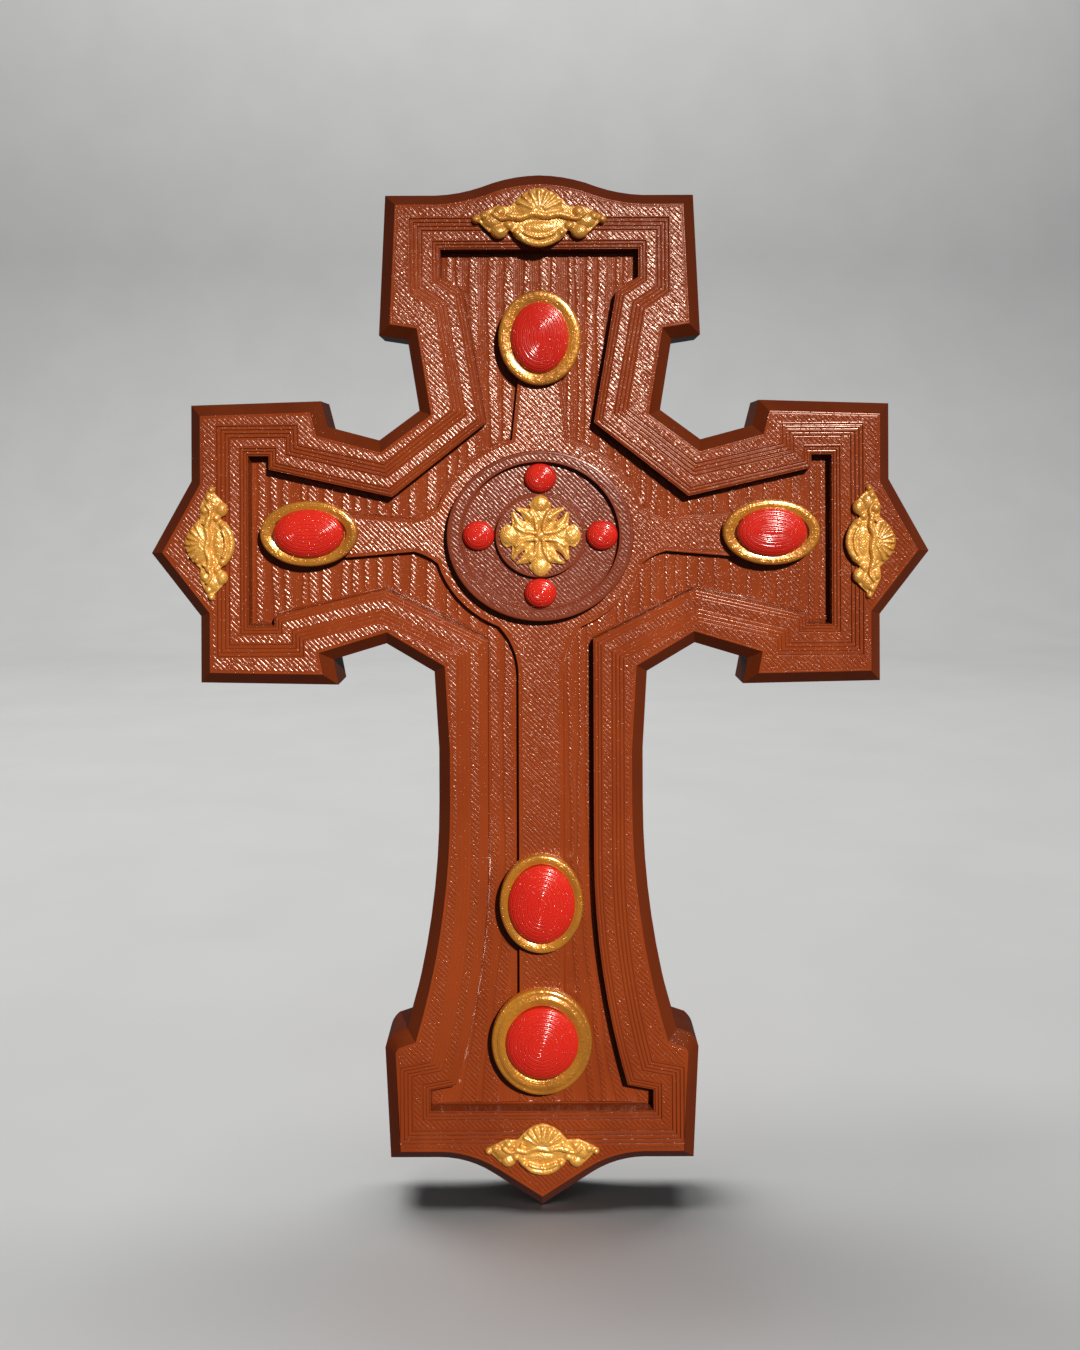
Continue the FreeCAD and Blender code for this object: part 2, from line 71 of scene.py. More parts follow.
WARM = (1, 0.97, 0.92)
KEY_DIRECTION = Vector((0.308, -0.844, 0.457))
KEY_RANGE = 1.2
KEY_RADIUS = 0.028
KEY_POWER = 98.0
KEY_AIM = Vector((-0.06, FACE_Y, -0.15))
KEY_CONE = 29
REAR_PLACE = Vector((-0.9, 1.0, 0.7))
REAR_POWER = 75.0
REAR_RADIUS = 0.3
REAR_CONE = 30
FLOOR_LIGHT_PLACE = Vector((-0.5, 0.2, 1.6))
FLOOR_LIGHT_POWER = 22.0
FLOOR_LIGHT_SIZE = 1.2
WALL_LIGHT_PLACE = Vector((0.3, 0.35, 1.3))
WALL_LIGHT_POWER = 7.0
WALL_LIGHT_SIZE = 0.8
WORLD_COLOUR = (0.93, 0.96, 1.0, 1)
WORLD_STRENGTH = 0.06

FLOOR_GAP = 0.0004
FLOOR_HALF = 2.2
FLOOR_FRONT = -1.6
SWEEP_START = 0.85
SWEEP_RADIUS = 0.45
SWEEP_TOP = 1.9
SWEEP_STEPS = 24


def add_camera():
    data = bpy.data.cameras.new("camera")
    data.lens = CAMERA_LENS
    data.sensor_width = 36
    data.shift_y = CAMERA_SHIFT
    data.clip_start = 0.01
    camera = bpy.data.objects.new("camera", data)
    bpy.context.scene.collection.objects.link(camera)
    camera.location = (0, FACE_Y - CAMERA_RANGE, CAMERA_Z)
    camera.rotation_euler = (math.pi / 2, math.radians(CAMERA_ROLL), 0)
    bpy.context.scene.camera = camera


def add_light(name, kind, place, target, power):
    data = bpy.data.lights.new(name, kind)
    data.energy = power
    lamp = bpy.data.objects.new(name, data)
    bpy.context.scene.collection.objects.link(lamp)
    lamp.location = place
    lamp.rotation_euler = (place - target).to_track_quat("Z", "Y").to_euler()
    return lamp


def add_spot(name, place, target, power, radius, cone, blend):
    lamp = add_light(name, "SPOT", place, target, power)
    lamp.data.color = WARM
    lamp.data.shadow_soft_size = radius
    lamp.data.spot_size = math.radians(cone)
    lamp.data.spot_blend = blend
    return lamp


def add_area(name, place, target, power, size):
    lamp = add_light(name, "AREA", place, target, power)
    lamp.data.shape = "DISK"
    lamp.data.size = size
    return lamp


def floor_group(name, floor, state):
    """A group that lets a lamp light only the floor, or everything but the floor."""
    group = bpy.data.collections.new(name)
    group.objects.link(floor)
    group.collection_objects[0].light_linking.link_state = state
    return group


def add_lights(floor):
    """The object has a key from the upper right and a light from behind. The floor and
    the wall behind have wide soft lights of their own."""
    middle = Vector((0, FACE_Y, (BODY_LOW.z + BODY_HIGH.z) / 2))
    key_place = middle + KEY_DIRECTION.normalized() * KEY_RANGE
    key = add_spot("key_light", key_place, KEY_AIM, KEY_POWER, KEY_RADIUS, KEY_CONE, 1.0)
    rear = add_spot("rear_light", REAR_PLACE, middle, REAR_POWER, REAR_RADIUS, REAR_CONE, 0.5)
    rear.visible_glossy = False
    for lamp in (key, rear):
        lamp.light_linking.receiver_collection = floor_group("object_only", floor, "EXCLUDE")
    under = Vector((0, 0.2, BODY_LOW.z))
    wall = Vector((0, SWEEP_START + SWEEP_RADIUS, 0.35))
    low = add_area("floor_light", FLOOR_LIGHT_PLACE, under, FLOOR_LIGHT_POWER, FLOOR_LIGHT_SIZE)
    high = add_area("wall_light", WALL_LIGHT_PLACE, wall, WALL_LIGHT_POWER, WALL_LIGHT_SIZE)
    for lamp in (low, high):
        lamp.light_linking.receiver_collection = floor_group("floor_only", floor, "INCLUDE")
    world = bpy.data.worlds.new("world")
    bpy.context.scene.world = world
    world.use_nodes = True
    background = world.node_tree.nodes["Background"]
    background.inputs["Color"].default_value = WORLD_COLOUR
    background.inputs["Strength"].default_value = WORLD_STRENGTH


def add_floor():
    """A pale floor that curves up into a wall far behind the cross. It doesn't throw
    light back at the cross, whose shadows stay deep."""
    low = BODY_LOW.z - FLOOR_GAP
    profile = [(FLOOR_FRONT, low), (SWEEP_START, low)]
    for step in range(1, SWEEP_STEPS + 1):
        turn = math.pi / 2 * step / SWEEP_STEPS
        reach = SWEEP_START + SWEEP_RADIUS * math.sin(turn)
        profile.append((reach, low + SWEEP_RADIUS * (1 - math.cos(turn))))
    profile.append((SWEEP_START + SWEEP_RADIUS, SWEEP_TOP))
    points = [(side * FLOOR_HALF, y, z) for side in (-1, 1) for y, z in profile]
    count = len(profile)
    faces = [(i, i + count, i + count + 1, i + 1) for i in range(count - 1)]
    mesh = bpy.data.meshes.new("floor")
    mesh.from_pydata(points, [], faces)
    mesh.shade_smooth()
    floor = bpy.data.objects.new("floor", mesh)
    bpy.context.scene.collection.objects.link(floor)
    floor.data.materials.append(floor_material())
    floor.visible_diffuse = False
    floor.visible_glossy = False
    return floor


# Node helpers


def new_material(name):
    material = bpy.data.materials.new(name)
    material.use_nodes = True
    tree = material.node_tree
    return material, tree, tree.nodes["Principled BSDF"]


def plug(tree, value, socket):
    """Link an output to a socket, or set the socket to a value."""
    if isinstance(value, bpy.types.NodeSocket):
        tree.links.new(value, socket)
    else:
        socket.default_value = value


def calc(tree, operation, *values):
    node = tree.nodes.new("ShaderNodeMath")
    node.operation = operation
    for value, socket in zip(values, node.inputs):
        plug(tree, value, socket)
    return node.outputs[0]


def ramp(tree, value, low, high, start=0.0, end=1.0):
    """Map a value's range from low..high to start..end, smoothly and clamped."""
    node = tree.nodes.new("ShaderNodeMapRange")
    node.interpolation_type = "SMOOTHSTEP"
    limits = {"From Min": low, "From Max": high, "To Min": start, "To Max": end}
    for key, number in limits.items():
        node.inputs[key].default_value = number
    plug(tree, value, node.inputs["Value"])
    return node.outputs["Result"]


def blend_values(tree, factor, first, second):
    node = tree.nodes.new("ShaderNodeMix")
    node.data_type = "FLOAT"
    plug(tree, factor, node.inputs[0])
    plug(tree, first, node.inputs[2])
    plug(tree, second, node.inputs[3])
    return node.outputs[0]


def blend_colours(tree, factor, first, second):
    node = tree.nodes.new("ShaderNodeMix")
    node.data_type = "RGBA"
    plug(tree, factor, node.inputs[0])
    plug(tree, first, node.inputs[6])
    plug(tree, second, node.inputs[7])
    return node.outputs[2]


def place(tree):
    """The point's X, Y and Z in millimetres."""
    where = tree.nodes.new("ShaderNodeTexCoord").outputs["Object"]
    scale = tree.nodes.new("ShaderNodeVectorMath")
    scale.operation = "SCALE"
    scale.inputs["Scale"].default_value = 1 / MM
    tree.links.new(where, scale.inputs[0])
    split = tree.nodes.new("ShaderNodeSeparateXYZ")
    tree.links.new(scale.outputs[0], split.inputs[0])
    return scale.outputs[0], split.outputs


def cloud(tree, where, size, detail=2.0, stretch=None):
    """Noise whose lumps are about so many millimetres across."""
    if stretch is not None:
        node = tree.nodes.new("ShaderNodeVectorMath")
        node.operation = "MULTIPLY"
        tree.links.new(where, node.inputs[0])
        node.inputs[1].default_value = stretch
        where = node.outputs[0]
    texture = tree.nodes.new("ShaderNodeTexNoise")
    texture.inputs["Scale"].default_value = 1 / size
    texture.inputs["Detail"].default_value = detail
    tree.links.new(where, texture.inputs["Vector"])
    return texture.outputs["Fac"]


def attribute(tree, name):
    node = tree.nodes.new("ShaderNodeAttribute")
    node.attribute_name = name
    return node.outputs["Fac"]


def lines(tree, across, pitch, depth):
    """Round ridges side by side, from 0 in the grooves to a depth on the crests."""
    part = calc(tree, "FRACT", calc(tree, "DIVIDE", across, pitch))
    arch = calc(tree, "MULTIPLY", part, calc(tree, "SUBTRACT", 1.0, part))
    return calc(tree, "MULTIPLY", arch, 4 * depth)


def bump(tree, height, distance):
    node = tree.nodes.new("ShaderNodeBump")
    node.inputs["Strength"].default_value = 1.0
    node.inputs["Distance"].default_value = distance
    tree.links.new(height, node.inputs["Height"])
    return node.outputs["Normal"]


# Materials

# Infill as sets of ridges, each with a pitch and a depth in millimetres
BODY_FILL = [(LINE / MM, 0.020), (2 * LINE / MM, 0.072)]
MEDALLION_FILL = [(0.77, 0.060)]
GOLD_FILL = [(LINE / MM, 0.028), (2 * LINE / MM, 0.012)]

# How deep the grooves between lines along an edge and between layers are, in millimetres
OUTLINE_DEPTH = 0.020
LAYER_DEPTH = 0.010

# Painted shade: how much of its colour the plastic keeps on walls and bevels, and in the
# grooves of the infill
PAINTED_WALL_SHADE = 0.5
PAINTED_GROOVE_SHADE = 0.5


def floor_material():
    material, tree, shader = new_material("floor_paint")
    where, _ = place(tree)
    tone = ramp(tree, cloud(tree, where, 60.0), 0.2, 0.8)
    colour = blend_colours(tree, tone, (0.70, 0.70, 0.69, 1), (0.73, 0.73, 0.72, 1))
    tree.links.new(colour, shader.inputs["Base Color"])
    shader.inputs["Roughness"].default_value = 0.85
    shader.inputs["Specular IOR Level"].default_value = 0.2
    return material


def diagonal_lines(tree, x, z, wander, ridges):
    """Infill: ridges that fall to the right, uneven along their length. Gives the height
    in millimetres, and a painted shade that darkens the colour in the grooves."""
    across = calc(tree, "MULTIPLY", calc(tree, "ADD", x, z), math.sqrt(0.5))
    across = calc(tree, "ADD", across, wander)
    along = calc(tree, "MULTIPLY", calc(tree, "SUBTRACT", x, z), math.sqrt(0.5))
    thread = tree.nodes.new("ShaderNodeCombineXYZ")
    tree.links.new(calc(tree, "MULTIPLY", across, 2.4), thread.inputs[0])
    tree.links.new(along, thread.inputs[1])
    flow = ramp(tree, cloud(tree, thread.outputs[0], 1.0, 1.0), 0.25, 0.7, 0.5, 1.1)
    height = 0.0
    for pitch, depth in ridges:
        height = calc(tree, "ADD", lines(tree, across, pitch, depth), height)
    total = sum(depth for pitch, depth in ridges)
    # Painted shade: the colour darkens in the grooves between the ridges
    shade = ramp(tree, height, 0.0, 0.5 * total, PAINTED_GROOVE_SHADE, 1.0)
    return calc(tree, "MULTIPLY", height, flow), shade


def flat_print(tree, edge, fill, painted_groove_shade, stack, colour):
    """Infill on the flats, lines along their edges and layers on the walls. The walls and the
    grooves of the infill get painted shade in their colour.
    """
    normal = tree.nodes.new("ShaderNodeNewGeometry").outputs["Normal"]
    split = tree.nodes.new("ShaderNodeSeparateXYZ")
    tree.links.new(normal, split.inputs[0])
    facing = calc(tree, "ABSOLUTE", split.outputs[1])
    on_flat_part = ramp(tree, facing, 0.93, 0.99)
    inside = ramp(tree, attribute(tree, "inside"), -0.05, 0.05)
    height = blend_values(tree, inside, edge, fill)
    height = blend_values(tree, on_flat_part, stack, height)
    in_fill = calc(tree, "MULTIPLY", inside, on_flat_part)
    # Painted shade: walls and bevels get darker in colour the further they turn from the front
    painted_wall_shade = ramp(tree, facing, 0.72, 0.84, PAINTED_WALL_SHADE, 1.0)
    shade = calc(tree, "MULTIPLY", painted_wall_shade, blend_values(tree, in_fill, 1.0, painted_groove_shade))
    return height, blend_colours(tree, shade, (0, 0, 0, 1), colour)


def printed(name, style, pale, dark, roughness, outline, grit, crumple=0.0, ridges=()):
    """Plastic laid down in lines. Outline, grit and crumple are heights in millimetres.
    A flat piece has infill on its flats, lines along its edges and layers on its walls.
    An oval one has rings all over, and a sculpted one has infill and layers all over."""
    material, tree, shader = new_material(name)
    where, (x, y, z) = place(tree)
    wander = calc(tree, "MULTIPLY", calc(tree, "SUBTRACT", cloud(tree, where, 3.0), 0.5), 0.16)
    across = calc(tree, "ADD", attribute(tree, "across"), calc(tree, "MULTIPLY", wander, 0.5))
    edge = lines(tree, across, LINE / MM, outline)
    if style != "oval":
        fill, painted_groove_shade = diagonal_lines(tree, x, z, wander, ridges)
        level = calc(tree, "ADD", y, calc(tree, "MULTIPLY", wander, 0.3))
        stack = lines(tree, level, LAYER / MM, LAYER_DEPTH)
    tone = ramp(tree, cloud(tree, where, 9.0, 3.0, (1.0, 1.0, 0.35)), 0.25, 0.75)
    colour = blend_colours(tree, tone, pale, dark)
    if style == "flat":
        height, colour = flat_print(tree, edge, fill, painted_groove_shade, stack, colour)
    elif style == "oval":
        height = calc(tree, "ADD", edge, lines(tree, across, 2 * LINE / MM, outline))
    else:
        height = calc(tree, "ADD", fill, calc(tree, "MULTIPLY", stack, 0.6))
        # Painted shade: the colour darkens towards the dark tone in the grooves of the infill
        colour = blend_colours(tree, painted_groove_shade, dark, colour)
    specks = ramp(tree, cloud(tree, where, 0.42, 1.0), 0.58, 0.74, 0.0, grit)
    height = calc(tree, "ADD", height, specks)
    if crumple:
        folds = calc(tree, "MULTIPLY", cloud(tree, where, 0.9, 2.0), crumple)
        height = calc(tree, "ADD", height, folds)
    tree.links.new(bump(tree, height, MM), shader.inputs["Normal"])
    tree.links.new(colour, shader.inputs["Base Color"])
    patches = cloud(tree, where, 1.6, 2.0)
    uneven = ramp(tree, patches, 0.3, 0.7, roughness - 0.04, roughness + 0.05)
    tree.links.new(uneven, shader.inputs["Roughness"])
    return material, shader


def brown_plastic():
    pale = (0.250, 0.041, 0.008, 1)
    dark = (0.205, 0.031, 0.006, 1)
    material, shader = printed(
        "brown_plastic", "flat", pale, dark,
        roughness=0.22, outline=OUTLINE_DEPTH, grit=0.03, ridges=BODY_FILL,
    )
    shader.inputs["Specular IOR Level"].default_value = 0.60
    shader.inputs["Specular Tint"].default_value = (1.0, 0.74, 0.62, 1)
    return material


def medallion_plastic():
    pale = (0.190, 0.036, 0.015, 1)
    dark = (0.155, 0.028, 0.011, 1)
    material, shader = printed(
        "medallion_plastic", "flat", pale, dark,
        roughness=0.24, outline=OUTLINE_DEPTH, grit=0.02, ridges=MEDALLION_FILL,
    )
    shader.inputs["Specular IOR Level"].default_value = 0.5
    shader.inputs["Specular Tint"].default_value = (1.0, 0.8, 0.72, 1)
    return material


def red_plastic():
    pale = (0.58, 0.020, 0.010, 1)
    dark = (0.50, 0.015, 0.008, 1)
    material, shader = printed(
        "red_plastic", "oval", pale, dark, roughness=0.17, outline=0.05, grit=0.07
    )
    shader.inputs["Specular IOR Level"].default_value = 0.5
    shader.inputs["Subsurface Weight"].default_value = 0.12
    shader.inputs["Subsurface Radius"].default_value = (1.0, 0.15, 0.1)
    shader.inputs["Subsurface Scale"].default_value = 1.2 * MM
    return material


def bezel_plastic():
    pale = (0.72, 0.28, 0.022, 1)
    dark = (0.46, 0.16, 0.012, 1)
    material, shader = printed(
        "bezel_plastic", "oval", pale, dark,
        roughness=0.24, outline=0.02, grit=0.04, crumple=0.15,
    )
    shader.inputs["Specular IOR Level"].default_value = 0.7
    shader.inputs["Coat Weight"].default_value = 1.0
    shader.inputs["Coat Roughness"].default_value = 0.15
    shader.inputs["Coat IOR"].default_value = 1.9
    shader.inputs["Metallic"].default_value = 0.45
    return material


def gilt_plastic():
    pale = (0.80, 0.40, 0.075, 1)
    dark = (0.50, 0.20, 0.022, 1)
    material, shader = printed(
        "gilt_plastic", "sculpted", pale, dark,
        roughness=0.30, outline=0.0, grit=0.05, crumple=0.22, ridges=GOLD_FILL,
    )
    shader.inputs["Specular IOR Level"].default_value = 0.7
    shader.inputs["Metallic"].default_value = 0.3
    shader.inputs["Coat Weight"].default_value = 0.5
    shader.inputs["Coat Roughness"].default_value = 0.2
    return material


# Meshes


def add_piece(name, bm, node, material, angle):
    """A mesh that stands for a CAD node, smooth where faces meet below the angle."""
    mesh = bpy.data.meshes.new(name)
    bmesh.ops.recalc_face_normals(bm, faces=bm.faces)
    bm.to_mesh(mesh)
    bm.free()
    if mesh.has_custom_normals:
        mesh.attributes.remove(mesh.attributes["custom_normal"])
    mesh.shade_smooth()
    mesh.set_sharp_from_angle(angle=math.radians(angle))
    piece = bpy.data.objects.new(name, mesh)
    bpy.context.scene.collection.objects.link(piece)
    mesh.materials.clear()
    mesh.materials.append(material)
    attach(piece, "root")
    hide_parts(node)


def cad_mesh(node):
    """A CAD node's mesh with its split vertices joined."""
    bm = bmesh.new()
    bm.from_mesh(NODES[node].data)
    bmesh.ops.remove_doubles(bm, verts=bm.verts, dist=1e-6)
    return bm


# The body's and the medallion's flats are meshed again, finely, so that each point
# can say how far it is from an edge: the printer follows edges before it fills.

GRID = 0.62 * MM
ROW = GRID * math.sqrt(0.75)
SAMPLE = 0.12 * MM
FAR = 1.0

# How far new points stay from the flat's edges, and grid points from guides
GUIDE_GAP = 0.35 * MM
GRID_GAP = 0.45 * GRID
GUIDED_GAP = 0.3 * GRID

# Depths this close are the same depth
CLOSE = 1e-5


class Flat:
    """The front-facing faces of a mesh at one depth, and the edges round them. A rim
    is an edge that a bevel starts from."""

    def __init__(self, depth, faces):
        self.depth = depth
        self.faces = faces
        members = set(faces)
        self.area = sum(face.calc_area() for face in faces)
        self.edges = []
        self.rims = []
        for edge in dict.fromkeys(edge for face in faces for edge in face.edges):
            outside = [face for face in edge.link_faces if face not in members]
            if outside:
                self.edges.append(edge)
                self.rims.append(0.1 < abs(outside[0].normal.y) < 0.9)

    def trees(self):
        """Nearest-point trees over the rims and over the other edges."""
        points = {True: [], False: []}
        for edge, rim in zip(self.edges, self.rims):
            start, end = (vert.co for vert in edge.verts)
            steps = max(1, math.ceil(edge.calc_length() / SAMPLE))
            points[rim] += [start.lerp(end, step / steps) for step in range(steps + 1)]
        return {rim: point_tree(places) for rim, places in points.items()}


def point_tree(points):
    tree = kdtree.KDTree(len(points))
    for index, point in enumerate(points):
        tree.insert((point.x, 0, point.z), index)
    tree.balance()
    return tree if points else None


def distance(tree, x, z):
    return tree.find((x, 0, z))[2] if tree else FAR


def flats_of(bm):
    """Front-facing flats, deepest first."""
    groups = {}
    for face in bm.faces:
        if face.normal.y < -0.9999:
            groups.setdefault(round(face.verts[0].co.y, 6), []).append(face)
    return [Flat(depth, groups[depth]) for depth in sorted(groups, reverse=True)]


def on_flat(bvh, depth, x, z):
    hit, normal, _, _ = bvh.ray_cast(Vector((x, -0.1, z)), Vector((0, 1, 0)))
    return hit is not None and abs(hit.y - depth) < CLOSE and normal.y < -0.999


def grid(low, high):
    """Points in staggered rows over a box."""
    for row in range(int((high.y - low.y) / ROW) + 1):
        z = low.y + row * ROW
        shift = GRID / 2 if row % 2 else 0
        for column in range(int((high.x - low.x) / GRID) + 1):
            yield low.x + shift + column * GRID, z


def follow(guide, allowed, points, links):
    """Add a guide's allowed points, and link the ones that follow each other."""
    last = None
    for x, z in guide:
        if not allowed(x, z):
            last = None
            continue
        points.append(Vector((x, z)))
        if last is not None:
            links.append((last, len(points) - 1))
        last = len(points) - 1


def refill(bm, bvh, flat, settle, guides=()):
    """Mesh a flat again with inner points. settle(x, z, rim, edge) gives each point's
    rise towards the front, its distance across the lines and how far it is in infill."""
    trees = flat.trees()
    rim_of = trees[True]
    edge_of = trees[False]
    across_layer = bm.verts.layers.float["across"]
    inside_layer = bm.verts.layers.float["inside"]
    ring = list(dict.fromkeys(vert for edge in flat.edges for vert in edge.verts))
    index_of = {vert: index for index, vert in enumerate(ring)}
    points = [Vector((vert.co.x, vert.co.z)) for vert in ring]
    links = [tuple(index_of[vert] for vert in edge.verts) for edge in flat.edges]

    def clear(x, z, gap):
        near = min(distance(rim_of, x, z), distance(edge_of, x, z))
        return near > gap and on_flat(bvh, flat.depth, x, z)

    low = Vector((min(p.x for p in points), min(p.y for p in points)))
    high = Vector((max(p.x for p in points), max(p.y for p in points)))

    def guidable(x, z):
        return low.x < x < high.x and low.y < z < high.y and clear(x, z, GUIDE_GAP)

    for guide in guides:
        follow(guide, guidable, points, links)
    guided = point_tree([Vector((p.x, 0, p.y)) for p in points[len(ring):]])
    for x, z in grid(low, high):
        if clear(x, z, GRID_GAP) and distance(guided, x, z) > GUIDED_GAP:
            points.append(Vector((x, z)))
    spots, _, triangles, origins = delaunay_2d_cdt(points, links, [], 0, 1e-7)[:4]
    bmesh.ops.delete(bm, geom=flat.faces, context="FACES_ONLY")
    verts = []
    for spot, origin in zip(spots, origins):
        known = [ring[index] for index in origin if index < len(ring)]
        if known:
            verts.append(known[0])
            continue
        gaps = distance(rim_of, *spot), distance(edge_of, *spot)
        rise, across, inside = settle(*spot, *gaps)
        vert = bm.verts.new((spot.x, flat.depth - rise, spot.y))
        vert[across_layer] = across / MM
        vert[inside_layer] = inside / MM
        verts.append(vert)
    for triangle in triangles:
        x = sum(spots[index].x for index in triangle) / 3
        z = sum(spots[index].y for index in triangle) / 3
        if on_flat(bvh, flat.depth, x, z):
            bm.faces.new([verts[index] for index in triangle])
    bmesh.ops.delete(bm, geom=[vert for vert in verts if not vert.link_faces], context="VERTS")


def with_layers(bm):
    """Add the numbers that the materials read at each vertex, in millimetres: the
    distance across the lines, and how far inside the infill it is. The back is all
    infill, and the walls have none."""
    for name in ("across", "inside"):
        bm.verts.layers.float.new(name)
    inside_layer = bm.verts.layers.float["inside"]
    back = max(vert.co.y for vert in bm.verts)
    for vert in bm.verts:
        vert[inside_layer] = 1.0 if vert.co.y > back - CLOSE else -1.0


def filled(rim_margin, edge_margin):
    """Lines along the edges up to a margin from rims and from other edges, then infill."""

    def settle(x, z, rim, edge):
        return 0.0, min(rim, edge), min(rim - rim_margin, edge - edge_margin)

    return settle


# The panel's wood grain: raised stripes, one layer high, that widen with the foot

GRAIN_RISE = 0.13 * MM
GRAIN_STEP = 0.35 * MM
GRAIN_REACH = 66 * MM
GRAIN_LENGTH = 1.6 * MM
SLOW_BEND = 0.30 * MM
SLOW_LENGTH = 11 * MM
QUICK_BEND = 0.12 * MM
QUICK_LENGTH = 3.1 * MM
FLARE_START = -60 * MM
FLARE_GROWTH = 135.0


def flare(z):
    """How much wider than at the waist the grain is at a height."""
    drop = max(0.0, FLARE_START - z)
    return 1 + FLARE_GROWTH * drop * drop


def grain_stripes():
    """Each stripe's left and right sides at the waist, and the phase of its bends."""
    chance = random.Random(11)
    stripes = []
    x = -GRAIN_REACH
    while x < GRAIN_REACH:
        start = x + chance.uniform(0.8, 2.6) * MM
        end = start + chance.uniform(0.8, 2.4) * MM
        stripes.append((start, end, chance.uniform(0, 6.28)))
        x = end
    return stripes


def sway(x, z, phase):
    """Where a grain line that starts at x runs at a height."""
    slow = SLOW_BEND * math.sin(z / SLOW_LENGTH + phase)
    quick = QUICK_BEND * math.sin(z / QUICK_LENGTH + 2 * phase)
    return (x + (slow + quick)) * flare(z)


def grain_guides(stripes):
    """Two lines down each side of each stripe, between which it rises."""
    guides = []
    rows = int((BODY_HIGH.z - BODY_LOW.z) / GRAIN_LENGTH)
    for start, end, phase in stripes:
        for x in (start, end):
            for side in (-0.5, 0.5):
                guide = []
                for row in range(rows):
                    z = BODY_LOW.z + row * GRAIN_LENGTH
                    guide.append((sway(x, z, phase) + side * GRAIN_STEP, z))
                guides.append(guide)
    return guides


def grained(stripes):
    """Infill on raised stripes, and lines down the panel between them."""

    def settle(x, z, rim, edge):
        inside = -FAR
        for start, end, phase in stripes:
            left = x - sway(start, z, phase)
            right = sway(end, z, phase) - x
            inside = max(inside, min(left, right))
        level = min(1.0, max(0.0, inside / GRAIN_STEP + 0.5))
        fade = min(1.0, max(0.0, edge / (0.35 * MM)))
        filled_in = min(max(inside, -GRAIN_STEP) - 0.1 * MM, edge - 0.3 * MM)
        return GRAIN_RISE * level * fade, x / flare(z), filled_in

    return settle


# A wall lower than the step height is one printed layer. Its foot moves out and its
# top moves in by the step slope.
STEP_HEIGHT = 0.25 * MM
STEP_SLOPE = 0.16 * MM


def soften_steps(bm):
    """Lean the walls of single layers, as molten plastic rounds them."""
    moves = {}
    for face in bm.faces:
        depths = [vert.co.y for vert in face.verts]
        rise = max(depths) - min(depths)
        if abs(face.normal.y) > 0.1 or not 0 < rise < STEP_HEIGHT:
            continue
        for vert in face.verts:
            side = -1 if vert.co.y < max(depths) - rise / 2 else 1
            moves.setdefault(vert, []).append(face.normal * side)
    for vert, pushes in moves.items():
        push = sum(pushes, Vector())
        push.y = 0
        vert.co += push.normalized() * STEP_SLOPE


def add_body(material):
    bm = cad_mesh(BODY)
    with_layers(bm)
    bvh = BVHTree.FromBMesh(bm)
    floor, strap, *treads, face = flats_of(bm)
    stripes = grain_stripes()
    refill(bm, bvh, floor, grained(stripes), grain_guides(stripes))
    refill(bm, bvh, strap, filled(0.8 * MM, 0.8 * MM))
    shelf = max(treads, key=lambda flat: flat.area)
    for tread in treads:
        margin = 0.15 * MM if tread is shelf else 1.0 * MM
        refill(bm, bvh, tread, filled(margin, margin))
    refill(bm, bvh, face, filled(0.7 * MM, 0.4 * MM))
    soften_steps(bm)
    add_piece("printed_cross", bm, BODY, material, 25)


def add_medallion(material):
    bm = cad_mesh("medallion_disc")
    with_layers(bm)
    bvh = BVHTree.FromBMesh(bm)
    for flat in flats_of(bm):
        refill(bm, bvh, flat, filled(0.5 * MM, 0.5 * MM))
    add_piece("printed_medallion", bm, "medallion_disc", material, 25)


# Stones, beads and bezels are rings of points round an ellipse, from a profile of steps
# in from the outer edge and rises from the back

OVAL_SIDES = 144

def add_oval(name, node, material, profile, wobble=0.0):
    """Loft a profile round a node's oval. Each profile entry is how far in from the
    edge and how far forward from the node's back. Wobble is how uneven the front is."""
    low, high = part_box(node)
    half_x = (high.x - low.x) / 2
    half_z = (high.z - low.z) / 2
    middle = (low + high) / 2
    bm = bmesh.new()
    across_layer = bm.verts.layers.float.new("across")
    inside_layer = bm.verts.layers.float.new("inside")
    rings = []
    for inset, rise in profile:
        ring = []
        for step in range(OVAL_SIDES):
            turn = 2 * math.pi * step / OVAL_SIDES
            spot = Vector((math.cos(turn) * 2, math.sin(turn) * 2, rise * 900))
            shake = wobble * noise.noise(spot)
            x = middle.x + (half_x - inset) * math.cos(turn)
            z = middle.z + (half_z - inset) * math.sin(turn)
            vert = bm.verts.new((x, high.y - rise - shake, z))
            vert[across_layer] = inset / MM
            vert[inside_layer] = -1.0
            ring.append(vert)
        rings.append(ring)
    for outer, inner in zip(rings, rings[1:]):
        for step in range(OVAL_SIDES):
            after = (step + 1) % OVAL_SIDES
            bm.faces.new((outer[step], outer[after], inner[after], inner[step]))
    bm.faces.new(rings[0])
    bm.faces.new(rings[-1])
    add_piece(name, bm, node, material, 50)


OVALS = ("upper", "left", "right", "lower", "foot")


def half_and_rise(node):
    """Half a node's width across the short way, and its depth."""
    low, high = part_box(node)
    return min(high.x - low.x, high.z - low.z) / 2, high.y - low.y


def dome(half, girdle, rise, steps):
    """The part of a profile that curves in from the top of a girdle."""
    points = []
    for step in range(1, steps):
        turn = math.pi / 2 * step / steps
        points.append((half * (1 - math.cos(turn)), girdle + (rise - girdle) * math.sin(turn)))
    return points


